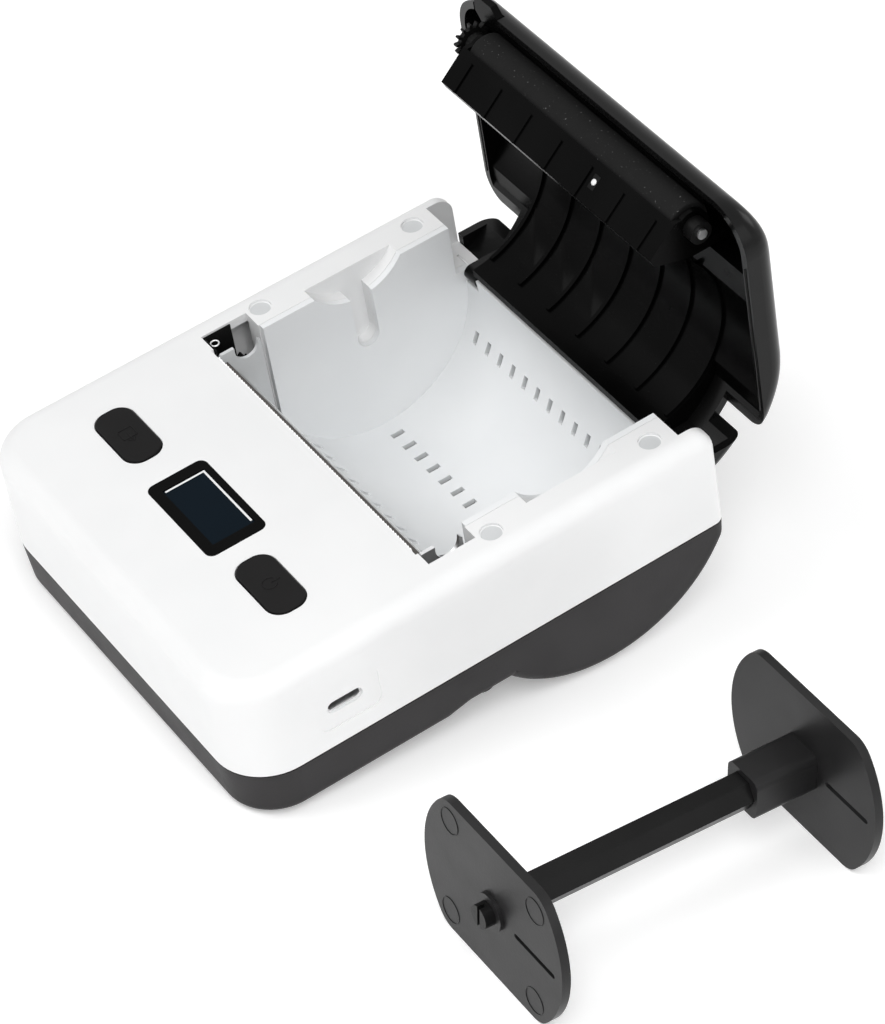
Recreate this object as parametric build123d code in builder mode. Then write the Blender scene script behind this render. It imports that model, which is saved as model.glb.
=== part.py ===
from build123d import *
import os
from math import asin, atan2, cos, degrees, hypot, pi, radians, sin, tan

# Portable thermal printer with its roll cover open, and the roll holder standing beside it.
# The printer is drawn level and closed: X to the right, Y to the rear from the front face,
# Z up from the seam between the white top shell and the dark base. At the end the cover is
# swung open, and everything is stood on the table the way the base rests on its feet.

# Driving sizes of the body
body_width = 112.0
body_depth = 128.3
shell_height = 26.9
base_drop = 13.3
front_corner = 13.5
rear_corner = 3.0
shell_wall = 2.4
deck_wall = 2.4
base_wall = 2.2
base_draft = 4.0
edge_round = 4.6
base_round = 2.4
seam_gap = 0.3
seam_groove = 0.4

# Clearances
fit = 0.05
loose = 0.1
clear = 0.3

# Paper bay and the belly of the base around it
bay_half = 41.6
bay_y = 95.8
bay_z = 7.7
trough_radius = 28.0
trough_wall = 1.5
bay_wall = 1.6
trough_front_angle = 200.0
wall_front = 69.6
support_wall = 5.2
belly_radius = 35.2
belly_z = 10.2
grip_front = 51.5
grip_slope = 6.0
grip_rise = 1.4
cradle_thick = 2.0
journal_slot = 6.0
journal_slot_floor = 5.4
journal_slot_depth = 3.0
scallop_half = 12.0
scallop_depth = 6.0
scallop_width = 3.0
dimple_radius = 2.7
dimple_depth = 0.7
dimple_x = 48.4
dimple_ys = (72.95, 115.6)
slot_pitch = 5.2
slot_count = 15
slot_width = 1.5
slot_length = 3.4
slot_angles = (-139.0, -90.0, -26.0)

# Front throat that takes the platen, the print head and the tear bar
throat_front = 56.4
throat_rear = 69.3
recess_left = 49.0
recess_right = 47.6

# Hinge
hinge_y = 125.4
hinge_z = 11.4
knuckle_radius = 2.1
knuckle_inner = 36.6
knuckle_outer = 41.2
hinge_pin_radius = 1.0
rear_wall_top = 12.4
tail_slot_front = 121.4
open_angle = 90.0

# Cover
lid_top = 35.2
lid_wall = 2.0
lid_front = 56.4
lid_front_corner = 11.0
lid_edge_round = 3.0
lid_nose_radius = 4.5
lid_nose_turn = 60.0
lid_flat_start = 69.5
lid_flat_end = 99.0
lid_knee_y = 112.0
lid_knee_z = 32.0
tail_bottom = 14.5
tail_half = 50.8
lid_rear = 121.5
lid_rear_corner = 9.0
skirt_radius = 26.9
skirt_low = 9.2
liner_front = 73.4
liner_floor = 28.0
liner_radius = 24.9
liner_rib = 0.7
liner_rib_thick = 1.0
liner_rib_count = 7
liner_rib_pitch = 11.8
rib_low = 14.0

# Platen and its holder
platen_y = 64.6
platen_z = 23.9
platen_radius = 5.2
platen_half = 39.4
core_radius = 2.6
journal_radius = 1.25
bush_radius = 2.8
bush_end = 44.2
axle_left = 46.8
axle_right = 44.8
holder_half = 39.9
holder_end_wall = 1.3
holder_rib = 0.4
holder_rib_inset = 1.9

# Print head: a strip that faces the platen along this direction
nip_angle = -155.0
nip_gap = 0.2
head_half = 41.0
head_above = 2.2
head_below = 8.0
ceramic = 1.0
heat_plate = 2.6
pivot_down = 9.6
pivot_back = 2.6
pivot_pin_radius = 1.0
spring_radius = 2.4
spring_wire = 0.5
spring_x = 24.0
frame_back = 8.0
frame_drop = 5.2
frame_sheet = 0.9
plate_inner = 41.9

# Gear train on the left side plate
gear_module = 0.6
platen_teeth = 14
idler_teeth = 28
pinion_teeth = 10
mesh_slack = 0.2
gear_width = 3.0
gear_gap = 0.5
idler_angle = -115.0
pinion_angle = 215.0
motor_radius = 7.5
motor_length = 16.0

# Deck: screen and buttons
screen_y = 28.7
bezel_width = 28.3
bezel_depth = 15.4
window_width = 22.0
window_depth = 11.1
window_shift = 0.6
button_width = 19.4
button_depth = 9.6
button_corner = 3.9
button_y = 27.2
button_left_x = -32.0
button_right_x = 29.8
button_proud = 0.5
button_travel = 0.5
button_flange = 1.0
key_board_z = 19.2
key_board_width = 78.0
key_board_depth = 20.0
key_board_thick = 1.2

# Side socket
usb_y = 27.2
usb_z = 11.1
usb_width = 9.1
usb_height = 3.3

# Boards and battery
board_thick = 1.6
board_width = 92.0
board_front = 13.5
board_rear = 36.0
battery_width = 60.0
battery_depth = 34.0
battery_height = 8.6

# Feet and screws
front_foot_proud = 0.6
rear_foot_proud = 1.8
front_foot_y = 9.5
front_foot_x = 40.0
front_foot_radius = 4.5
foot_seat = 0.9
rear_foot_x = 34.0
rear_foot_width = 24.0
rear_foot_depth = 8.0
screw_head_radius = 2.1
screw_head = 1.4
screw_radius = 1.0
boss_radius = 2.4
front_boss = (42.0, 17.5)
grip_boss = (51.3, 62.0)

# Roll holder that stands beside the printer, in table coordinates
spindle_x = 118.3
spindle_y = 21.7
flange_span = 82.6
flange_radius = 25.8
flange_flat = 18.5
flange_thick = 2.2
flange_corner = 6.0
rod_across = 7.6
journal_out = 3.4
holder_journal_radius = 2.8
sleeve_length = 16.0
sleeve_size = 10.6
slit_width = 1.3
slit_length = 14.8
slit_x = 15.7

half_width = body_width / 2
bay_outer = bay_half + bay_wall
shell_opening = bay_outer + loose
support_outer = shell_opening + support_wall


def as_face(points):
    """A closed outline through the given points."""
    with BuildSketch() as outline:
        with BuildLine():
            Polyline(*points, close=True)
        make_face()
    return outline.sketch


def plan_outline(inset):
    """The body seen from above, drawn in by the inset."""
    with BuildSketch() as outline:
        with Locations((0, body_depth / 2)):
            Rectangle(body_width - 2 * inset, body_depth - 2 * inset)
        fillet(outline.vertices().group_by(Axis.Y)[0], front_corner - inset)
        fillet(outline.vertices().group_by(Axis.Y)[-1], rear_corner - inset)
    return outline.sketch


def cap_outline(inset):
    """The cover's rim seen from above, drawn in by the inset."""
    with BuildSketch() as outline:
        with Locations((0, (lid_front + lid_rear) / 2)):
            Rectangle(body_width - 2 * inset, lid_rear - lid_front - 2 * inset)
        fillet(outline.vertices().group_by(Axis.Y)[0], lid_front_corner - inset)
        fillet(outline.vertices().group_by(Axis.Y)[-1], lid_rear_corner - inset)
    return outline.sketch


def lid_outline(inset):
    """The whole cover seen from above, rim and narrower tail, drawn in by the inset."""
    with BuildSketch() as outline:
        add(cap_outline(inset))
        with Locations((0, (bay_y + body_depth - inset) / 2)):
            Rectangle(2 * (tail_half - inset), body_depth - inset - bay_y)
    return outline.sketch


def lid_profile(rolled=True):
    """Side view of the cover, open below: flat top, falling tail and a front rolled or left sharp."""
    skirt = 10.0
    bend = radians(lid_nose_turn)
    bend_end = lid_front + lid_nose_radius * (1 - cos(bend))
    slope_radius = (lid_flat_start - bend_end) / cos(bend)
    slope_end = bend_end if rolled else lid_front
    slope_low = lid_top - slope_radius + (slope_radius**2 - (lid_flat_start - slope_end) ** 2) ** 0.5
    wall_top = slope_low - lid_nose_radius * sin(bend) if rolled else slope_low
    with BuildSketch() as region:
        with BuildLine():
            slope = TangentArc((lid_flat_start, lid_top), (slope_end, slope_low), tangent=(-1, 0))
            if rolled:
                TangentArc((slope_end, slope_low), (lid_front, wall_top), tangent=slope % 1)
            Line((lid_front, wall_top), (lid_front, skirt))
            Line((lid_flat_start, lid_top), (lid_flat_end, lid_top))
            knee = TangentArc((lid_flat_end, lid_top), (lid_knee_y, lid_knee_z), tangent=(1, 0))
            TangentArc((lid_knee_y, lid_knee_z), (body_depth, tail_bottom), tangent=knee % 1)
            Polyline((body_depth, tail_bottom), (body_depth, skirt), (lid_front, skirt))
        make_face()
    return region.sketch


def base_profile():
    """Side view of the base: flat front, finger grip, round belly, open above the seam."""
    lift = 6.0
    grip_z = -base_drop + grip_rise
    belly_start = bay_y - (belly_radius**2 - (belly_z - grip_z) ** 2) ** 0.5
    rear_z = belly_z - (belly_radius**2 - (body_depth - bay_y) ** 2) ** 0.5
    with BuildSketch() as region:
        with BuildLine():
            Polyline(
                (body_depth, rear_z),
                (body_depth, lift),
                (0, lift),
                (0, -base_drop),
                (grip_front, -base_drop),
                (grip_front + grip_slope, grip_z),
                (belly_start, grip_z),
            )
            ThreePointArc((belly_start, grip_z), (bay_y, belly_z - belly_radius), (body_depth, rear_z))
        make_face()
    return region.sketch


def gear_outline(teeth, turned):
    """A spur gear with straight-flanked teeth, turned by the given angle in degrees."""
    pitch_radius = gear_module * teeth / 2
    tip = pitch_radius + 0.8 * gear_module
    root = pitch_radius - 1.1 * gear_module
    step = 360 / teeth
    points = []
    for tooth in range(teeth):
        for share, radius in ((-0.25, root), (-0.12, tip), (0.12, tip), (0.25, root)):
            angle = radians(turned + (tooth + share) * step)
            points.append((radius * cos(angle), radius * sin(angle)))
    return as_face(points)


def side_plane(x):
    """The side view plane, local axes along Y and Z, at the given distance to the right."""
    return Plane.YZ.offset(x)


# The line of the print head: unit vectors down along the strip and back away from the platen
head_back = (cos(radians(nip_angle)), sin(radians(nip_angle)))
head_down = (-head_back[1], head_back[0])
nip = (
    platen_y + (platen_radius + nip_gap) * head_back[0],
    platen_z + (platen_radius + nip_gap) * head_back[1],
)


def head_point(down, back):
    """A point of the head's side view, measured along and behind its front face."""
    return (
        nip[0] + down * head_down[0] + back * head_back[0],
        nip[1] + down * head_down[1] + back * head_back[1],
    )


def head_strip(down_from, down_to, back_from, back_to):
    """A straight slice of the head's side view."""
    return as_face(
        [
            head_point(down_from, back_from),
            head_point(down_to, back_from),
            head_point(down_to, back_to),
            head_point(down_from, back_to),
        ]
    )


# Gear centres, from the platen down to the motor
def centre_from(centre, teeth_a, teeth_b, angle):
    distance = gear_module * (teeth_a + teeth_b) / 2 + mesh_slack
    return (
        centre[0] + distance * cos(radians(angle)),
        centre[1] + distance * sin(radians(angle)),
    )


platen_centre = (platen_y, platen_z)
idler_centre = centre_from(platen_centre, platen_teeth, idler_teeth, idler_angle)
pinion_centre = centre_from(idler_centre, idler_teeth, pinion_teeth, pinion_angle)
pivot_centre = head_point(pivot_down, pivot_back)
idler_turn = idler_angle + 180
tooth_ahead = -(pinion_angle - idler_turn) % (360 / idler_teeth) * idler_teeth / 360
pinion_turn = pinion_angle - 180 - (tooth_ahead + 0.5) * 360 / pinion_teeth
gear_right = -plate_inner - frame_sheet - gear_gap
gear_left = gear_right - gear_width

# The table: a plane that touches the front feet and the feet on the belly
front_low = (base_round + 0.9, -base_drop + base_round)
rise = (bay_y - front_low[0], belly_z - front_low[1])
grown = (belly_radius + rear_foot_proud) - (base_round + front_foot_proud)
stand_angle = degrees(asin(grown / hypot(*rise)) - atan2(rise[1], rise[0]))
table_up = (sin(radians(stand_angle)), cos(radians(stand_angle)))
table_drop = (
    front_low[0] * table_up[0] + front_low[1] * table_up[1] - base_round - front_foot_proud
)
table = Plane(
    origin=(0, table_drop * table_up[0], table_drop * table_up[1]),
    x_dir=(1, 0, 0),
    z_dir=(0, table_up[0], table_up[1]),
)


def above_table(y, z):
    """Height over the table of a point of the printer's side view."""
    return y * table_up[0] + z * table_up[1] - table_drop


def along_table(y, z):
    """Distance along the table, to the rear, of a point of the printer's side view."""
    return y * table_up[1] - z * table_up[0]


def bay_point(radius, angle):
    """A point of the side view on a circle about the roll's axis."""
    return (bay_y + radius * cos(radians(angle)), bay_z + radius * sin(radians(angle)))


# Journal slot, scallop and rear hinge notches, cut from both the bay liner and the shell
with BuildPart() as journal_cut:
    for side in (-1, 1):
        with BuildSketch(side_plane(side * (bay_half - 1.0))):
            with Locations((bay_y, journal_slot_floor + journal_slot / 2)):
                Circle(journal_slot / 2)
            with Locations((bay_y, (journal_slot_floor + journal_slot / 2 + shell_height + 1) / 2)):
                Rectangle(journal_slot, shell_height + 1 - journal_slot_floor - journal_slot / 2)
        extrude(amount=side * (1.0 + bay_wall + journal_slot_depth))

scallop_radius = (scallop_half**2 + scallop_depth**2) / (2 * scallop_depth)
with BuildPart() as scallop_cut:
    for side in (-1, 1):
        with BuildSketch(side_plane(side * (bay_half - 1.0))):
            with Locations((bay_y, shell_height - scallop_depth + scallop_radius)):
                Circle(scallop_radius)
        extrude(amount=side * (1.0 + bay_wall + scallop_width))

with BuildPart() as hinge_notch:
    for side in (-1, 1):
        with BuildSketch(Plane.XY.offset(hinge_z - knuckle_radius - clear * 2)):
            with Locations((side * (knuckle_inner + knuckle_outer) / 2, hinge_y)):
                Rectangle(knuckle_outer - knuckle_inner + 2 * clear, 2 * (knuckle_radius + clear * 2))
            with Locations((side * (knuckle_inner + knuckle_outer) / 2, body_depth)):
                Rectangle(knuckle_outer - knuckle_inner + 2 * clear, 2 * shell_wall)
        extrude(amount=shell_height)

# Room for the cover's tail behind the bay
with BuildPart() as tail_slot:
    with BuildSketch(Plane.XY.offset(rear_wall_top)):
        with Locations((0, (tail_slot_front + body_depth + shell_wall) / 2)):
            Rectangle(2 * (tail_half + clear), body_depth + shell_wall - tail_slot_front)
    extrude(amount=shell_height)

with BuildPart() as pin_bore:
    with BuildSketch(side_plane(-(support_outer - 1.5))):
        with Locations((hinge_y, hinge_z)):
            Circle(hinge_pin_radius + fit)
    extrude(amount=2 * (support_outer - 1.5))

# Top shell: the white housing with its deck, thick bay supports and low rear wall
with BuildPart() as top_shell:
    with BuildSketch(Plane.XY):
        add(plan_outline(0))
    extrude(amount=shell_height)
    fillet(top_shell.edges().group_by(Axis.Z)[-1], edge_round)
    # front chamber under the deck
    with BuildSketch(Plane.XY):
        with Locations((0, (shell_wall + 1.8 + throat_rear) / 2)):
            Rectangle(body_width - 2 * (shell_wall + 0.2), throat_rear - shell_wall - 1.8)
    chamber = extrude(amount=shell_height - deck_wall, mode=Mode.PRIVATE)
    chamber_corners = chamber.edges().filter_by(Axis.Z).group_by(Axis.Y)[0]
    add(chamber.fillet(front_corner - shell_wall, chamber_corners), mode=Mode.SUBTRACT)
    # hollow sides behind the bay supports
    side_hollow = half_width - shell_wall - 0.2 - support_outer
    for side in (-1, 1):
        with BuildSketch(Plane.XY):
            with Locations((side * (support_outer + side_hollow / 2), (throat_rear + 114.0) / 2)):
                Rectangle(side_hollow, 114.0 - throat_rear + 1)
        extrude(amount=shell_height - deck_wall, mode=Mode.SUBTRACT)
    # bay opening between the supports, and the throat with its side recesses
    rear_inside = bay_y + trough_radius + trough_wall + loose
    with BuildSketch(Plane.XY):
        with Locations((0, (throat_front + rear_inside) / 2)):
            Rectangle(2 * shell_opening, rear_inside - throat_front)
        with Locations(((recess_right - recess_left) / 2, (throat_front + throat_rear) / 2 + clear)):
            Rectangle(recess_left + recess_right, throat_rear - throat_front - 2 * clear)
    extrude(amount=shell_height + 1, mode=Mode.SUBTRACT)
    add(tail_slot.part, mode=Mode.SUBTRACT)
    # bosses that take the case screws
    with BuildSketch(Plane.XY):
        for side in (-1, 1):
            with Locations((side * front_boss[0], front_boss[1]), (side * grip_boss[0], grip_boss[1])):
                Circle(boss_radius)
    extrude(amount=shell_height - deck_wall)
    with BuildSketch(Plane.XY):
        for side in (-1, 1):
            with Locations((side * front_boss[0], front_boss[1]), (side * grip_boss[0], grip_boss[1])):
                Circle(screw_radius + fit)
    extrude(amount=9.0, mode=Mode.SUBTRACT)
    # screen opening and the two button openings
    with BuildSketch(Plane.XY.offset(shell_height - deck_wall - 1)):
        with Locations((0, screen_y)):
            RectangleRounded(bezel_width + 2 * fit, bezel_depth + 2 * fit, 2.0)
        with Locations((button_left_x, button_y), (button_right_x, button_y)):
            RectangleRounded(button_width + 2 * clear, button_depth + 2 * clear, button_corner + clear)
    extrude(amount=deck_wall + 2, mode=Mode.SUBTRACT)
    # side socket mouth in its shallow square
    with BuildSketch(side_plane(half_width - 0.25)):
        with Locations((usb_y + 0.8, usb_z - 0.2)):
            RectangleRounded(16.0, 11.5, 2.5)
    extrude(amount=1, mode=Mode.SUBTRACT)
    with BuildSketch(side_plane(half_width - shell_wall - 1)):
        with Locations((usb_y, usb_z)):
            RectangleRounded(usb_width, usb_height, usb_height / 2 - 0.01)
    extrude(amount=shell_wall + 2, mode=Mode.SUBTRACT)
    # dimples in the ledges
    dimple_spots = [(side * dimple_x, y) for side in (-1, 1) for y in dimple_ys]
    with Locations(*[(x, y, shell_height) for x, y in dimple_spots]):
        Cylinder(dimple_radius, 2 * dimple_depth, mode=Mode.SUBTRACT)
    add(journal_cut.part, mode=Mode.SUBTRACT)
    add(scallop_cut.part, mode=Mode.SUBTRACT)
    add(hinge_notch.part, mode=Mode.SUBTRACT)
    add(pin_bore.part, mode=Mode.SUBTRACT)

# Base: the dark tray with its finger grip and round belly
with BuildPart() as base_cavity:
    with BuildSketch(Plane.YZ):
        add(base_profile())
        offset(amount=-base_wall)
    extrude(amount=body_width, both=True)
    with BuildSketch(Plane.XY):
        add(plan_outline(base_wall + 0.2))
    extrude(amount=-40, taper=base_draft, mode=Mode.INTERSECT)

with BuildPart() as base_shell:
    with BuildSketch(Plane.YZ):
        add(base_profile())
    extrude(amount=body_width, both=True)
    with BuildSketch(Plane.XY):
        add(plan_outline(0))
    extrude(amount=-40, taper=base_draft, mode=Mode.INTERSECT)
    low_edges = [
        edge
        for edge in base_shell.edges()
        if edge.center().Z < -2.5
        and (abs(edge.center().X) > 20 or edge.center().Y < 3)
        and not (edge.geom_type == GeomType.LINE and abs((edge % 0.5).Z) > 0.8)
    ]
    fillet(low_edges, base_round)
    add(base_cavity.part, mode=Mode.SUBTRACT)
    # shadow groove below the seam
    with BuildSketch(Plane.XY):
        add(plan_outline(-1))
        add(plan_outline(seam_groove), mode=Mode.SUBTRACT)
    extrude(amount=-seam_groove, mode=Mode.SUBTRACT)
    # cradle ribs that carry the paper bay
    for x in (-30.0, 0.0, 30.0):
        with BuildSketch(side_plane(x - cradle_thick / 2)):
            add(base_profile())
            offset(amount=-base_wall / 2)
            with Locations((bay_y, bay_z)):
                Circle(trough_radius + trough_wall + fit, mode=Mode.SUBTRACT)
            with Locations((bay_y - 2.0, bay_z - trough_radius - 2.0)):
                Rectangle(2 * belly_radius - 12, 2 * 16.0, mode=Mode.INTERSECT)
        extrude(amount=cradle_thick)
    # screw bosses with their heads sunk from below
    with BuildSketch(Plane.XY):
        for side in (-1, 1):
            with Locations((side * front_boss[0], front_boss[1]), (side * grip_boss[0], grip_boss[1])):
                Circle(screw_head_radius + clear + 1.2)
    extrude(amount=-base_drop + grip_rise + 0.6)
    with BuildSketch(Plane.XY):
        for side in (-1, 1):
            with Locations((side * front_boss[0], front_boss[1]), (side * grip_boss[0], grip_boss[1])):
                Circle(screw_radius + fit)
    extrude(amount=-base_drop - 1, mode=Mode.SUBTRACT)
    with BuildSketch(Plane.XY.offset(-base_drop - 1)):
        for side in (-1, 1):
            with Locations((side * front_boss[0], front_boss[1]), (side * grip_boss[0], grip_boss[1])):
                Circle(screw_head_radius + clear)
    extrude(amount=1 + base_wall + 2.0, mode=Mode.SUBTRACT)
    # foot seats, square to the table
    with BuildSketch(table):
        for side in (-1, 1):
            with Locations((side * front_foot_x, along_table(front_foot_y, -base_drop))):
                Circle(front_foot_radius + fit)
    extrude(amount=above_table(front_foot_y, -base_drop) + foot_seat + fit, mode=Mode.SUBTRACT)
    with BuildSketch(table):
        for side in (-1, 1):
            with Locations((side * rear_foot_x, along_table(bay_y, belly_z))):
                SlotOverall(rear_foot_width + 2 * fit, rear_foot_depth + 2 * fit)
    extrude(amount=rear_foot_proud + foot_seat + fit, mode=Mode.SUBTRACT)

# Rubber feet, flat on the table
with BuildPart() as feet:
    with BuildSketch(table):
        for side in (-1, 1):
            with Locations((side * front_foot_x, along_table(front_foot_y, -base_drop))):
                Circle(front_foot_radius)
    extrude(amount=above_table(front_foot_y, -base_drop) + foot_seat)
    with BuildSketch(table):
        for side in (-1, 1):
            with Locations((side * rear_foot_x, along_table(bay_y, belly_z))):
                SlotOverall(rear_foot_width, rear_foot_depth)
    extrude(amount=rear_foot_proud + foot_seat)

# Paper bay: the white trough with its end walls and three rows of slots
front_top = head_point(pivot_down + pivot_pin_radius + 1.0 + clear, 0)
front_foot = bay_point(trough_radius, trough_front_angle)
with BuildPart() as paper_bay:
    outer = trough_radius + trough_wall
    rear_top = (bay_y + (trough_radius**2 - (rear_wall_top - bay_z) ** 2) ** 0.5, rear_wall_top)
    rear_top_out = (bay_y + (outer**2 - (rear_wall_top - bay_z) ** 2) ** 0.5, rear_wall_top)
    with BuildSketch(side_plane(-bay_half)):
        with BuildLine():
            Line(front_top, front_foot)
            ThreePointArc(front_foot, bay_point(trough_radius, -70), rear_top)
            Line(rear_top, rear_top_out)
            ThreePointArc(rear_top_out, bay_point(outer, -70), bay_point(outer, trough_front_angle))
            Polyline(
                bay_point(outer, trough_front_angle),
                (front_top[0] - trough_wall, front_top[1]),
                front_top,
            )
        make_face()
    extrude(amount=2 * bay_half)
    for side in (-1, 1):
        with BuildSketch(side_plane(side * bay_half)):
            with Locations((bay_y, bay_z)):
                Circle(outer)
            with Locations(((wall_front + rear_inside - loose) / 2, (bay_z + shell_height) / 2)):
                Rectangle(rear_inside - loose - wall_front, shell_height - bay_z)
            with Locations(((wall_front + rear_inside - loose) / 2, 0)):
                Rectangle(rear_inside - loose - wall_front, 4 * outer, mode=Mode.INTERSECT)
        extrude(amount=side * bay_wall)
    with BuildSketch(Plane.XY.offset(shell_height)):
        Rectangle(body_width, 2 * body_depth)
    extrude(amount=outer, mode=Mode.SUBTRACT)
    add(tail_slot.part, mode=Mode.SUBTRACT)
    add(journal_cut.part, mode=Mode.SUBTRACT)
    add(scallop_cut.part, mode=Mode.SUBTRACT)
    add(hinge_notch.part, mode=Mode.SUBTRACT)
    add(pin_bore.part, mode=Mode.SUBTRACT)
    slot_half = (slot_count - 1) / 2 * slot_pitch
    slot_xs = [-slot_half + slot_pitch * i for i in range(slot_count)]
    for angle in slot_angles:
        middle = bay_point(trough_radius + trough_wall / 2, angle)
        radial = (0, cos(radians(angle)), sin(radians(angle)))
        with BuildSketch(Plane(origin=(0, *middle), x_dir=(1, 0, 0), z_dir=radial)):
            with Locations(*[(x, 0) for x in slot_xs]):
                Rectangle(slot_width, slot_length)
        extrude(amount=trough_wall, both=True, mode=Mode.SUBTRACT)

# Screen: glossy frame, clear window and the display behind it
with BuildPart() as screen_bezel:
    with BuildSketch(Plane.XY.offset(shell_height - 1.4)):
        with Locations((0, screen_y)):
            RectangleRounded(bezel_width, bezel_depth, 2.0)
        with Locations((0, screen_y + window_shift)):
            Rectangle(window_width, window_depth, mode=Mode.SUBTRACT)
    extrude(amount=1.5)

with BuildPart() as screen_window:
    with BuildSketch(Plane.XY.offset(shell_height - 1.0)):
        with Locations((0, screen_y + window_shift)):
            Rectangle(window_width - 2 * fit, window_depth - 2 * fit)
    extrude(amount=0.8)

with BuildPart() as display_module:
    with BuildSketch(Plane.XY.offset(key_board_z + key_board_thick)):
        with Locations((0, screen_y)):
            Rectangle(bezel_width - 2, bezel_depth - 1.6)
    extrude(amount=shell_height - 1.4 - key_board_z - key_board_thick)

# Buttons with their flanges under the deck
buttons = {}
for name, x in (("feed_button", button_left_x), ("power_button", button_right_x)):
    with BuildPart() as button:
        with BuildSketch(Plane.XY.offset(shell_height - deck_wall - button_travel / 2)):
            with Locations((x, button_y)):
                RectangleRounded(button_width, button_depth, button_corner)
        extrude(amount=deck_wall + button_travel / 2 + button_proud)
        fillet(button.faces().sort_by(Axis.Z)[-1].edges(), 0.35)
        with BuildSketch(Plane.XY.offset(shell_height - deck_wall - 0.2)):
            with Locations((x, button_y)):
                Rectangle(button_width + 2 * button_flange, button_depth + 2 * button_flange)
        extrude(amount=-0.9)
    buttons[name] = button

# Boards: key board under the deck and main board over the battery
with BuildPart() as key_board:
    with BuildSketch(Plane.XY.offset(key_board_z)):
        with Locations((0, screen_y)):
            Rectangle(key_board_width, key_board_depth)
    extrude(amount=key_board_thick)

flange_low = shell_height - deck_wall - 0.2 - 0.9
with BuildPart() as key_switches:
    with BuildSketch(Plane.XY.offset(key_board_z + key_board_thick)):
        with Locations((button_left_x, button_y), (button_right_x, button_y)):
            Rectangle(6, 6)
    extrude(amount=1.8)
    with BuildSketch(Plane.XY.offset(key_board_z + key_board_thick + 1.8)):
        with Locations((button_left_x, button_y), (button_right_x, button_y)):
            Circle(1.6)
    extrude(amount=flange_low - button_travel - 0.05 - key_board_z - key_board_thick - 1.8)

usb_floor = usb_z - usb_height / 2
with BuildPart() as main_board:
    with BuildSketch(Plane.XY.offset(usb_floor - board_thick)):
        with Locations(((half_width - shell_wall - 1.4 - board_width / 2), (board_front + board_rear) / 2)):
            Rectangle(board_width, board_rear - board_front)
        for side in (-1, 1):
            with Locations((side * front_boss[0], front_boss[1])):
                Circle(boss_radius + clear, mode=Mode.SUBTRACT)
    extrude(amount=board_thick)

with BuildPart() as board_chips:
    with BuildSketch(Plane.XY.offset(usb_floor)):
        with Locations((-12, 20)):
            Rectangle(12, 12)
        with Locations((8, 22)):
            Rectangle(8, 6)
        with Locations((24, 14)):
            Rectangle(5, 5)
    extrude(amount=1.2)
    with BuildSketch(Plane.XY.offset(usb_floor)):
        with Locations((-28, 32)):
            Rectangle(12, 4)
    extrude(amount=4)

with BuildPart() as usb_socket:
    with BuildSketch(side_plane(half_width - shell_wall - 7.4)):
        with Locations((usb_y, usb_z)):
            RectangleRounded(usb_width - 2 * loose, usb_height - 2 * fit, 1.4)
    extrude(amount=shell_wall + 6.4)
    with BuildSketch(side_plane(half_width - shell_wall - 5.4)):
        with Locations((usb_y, usb_z)):
            RectangleRounded(usb_width - 2 * loose - 0.8, usb_height - 2 * fit - 0.8, 1.0)
    extrude(amount=shell_wall + 8, mode=Mode.SUBTRACT)
    with BuildSketch(side_plane(half_width - shell_wall - 6.4)):
        with Locations((usb_y, usb_z)):
            Rectangle(6.4, 0.7)
    extrude(amount=shell_wall + 4.4)

with BuildPart() as battery_pack:
    with BuildSketch(Plane.XY.offset(-base_drop + base_wall)):
        with Locations((0, 24.0)):
            RectangleRounded(battery_width, battery_depth, 3.0)
    extrude(amount=battery_height)

# Tear bar along the front of the throat, a bent strip with fine teeth
bar_left = -bay_half + 0.6
bar_teeth = 82
bar_pitch = 1.0
bar_top = shell_height - 0.3
with BuildPart() as tear_bar:
    tooth_points = [(bar_left, bar_top - 3.0)]
    for tooth in range(bar_teeth):
        start = bar_left + tooth * bar_pitch
        tooth_points += [(start, bar_top - 0.8), (start + bar_pitch / 2, bar_top)]
    bar_right = bar_left + bar_teeth * bar_pitch
    tooth_points += [(bar_right, bar_top - 0.8), (bar_right, bar_top - 3.0)]
    with BuildSketch(Plane.XZ.offset(-(throat_front + fit + 0.45))):
        add(as_face(tooth_points))
    extrude(amount=0.45)
    with BuildSketch(Plane.XY.offset(bar_top - 3.0)):
        with Locations(((bar_left + bar_right) / 2, throat_front + fit + 0.45 - 2.6)):
            Rectangle(bar_right - bar_left, 5.2)
    extrude(amount=0.45)

# Print head: ceramic strip on an aluminium plate that turns about its lower edge
with BuildPart() as print_head:
    with BuildSketch(side_plane(-head_half)):
        add(head_strip(-head_above, head_below, 0, ceramic))
    extrude(amount=2 * head_half)

with BuildPart() as head_plate:
    with BuildSketch(side_plane(-head_half)):
        add(head_strip(-head_above + 0.4, pivot_down, ceramic, ceramic + heat_plate))
        with Locations(pivot_centre):
            Circle(pivot_pin_radius + 1.0)
    extrude(amount=2 * head_half)
    with BuildSketch(side_plane(-head_half)):
        with Locations(pivot_centre):
            Circle(pivot_pin_radius + fit)
    extrude(amount=2 * head_half, mode=Mode.SUBTRACT)

with BuildPart() as head_pivot:
    with BuildSketch(side_plane(-plate_inner)):
        with Locations(pivot_centre):
            Circle(pivot_pin_radius)
    extrude(amount=2 * plate_inner)

with BuildPart() as head_frame:
    with BuildSketch(side_plane(-plate_inner)):
        add(head_strip(-1.0, frame_drop, frame_back, frame_back + frame_sheet))
        add(head_strip(-1.0, -1.0 + frame_sheet, frame_back - 2.0, frame_back))
    extrude(amount=2 * plate_inner)

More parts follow.
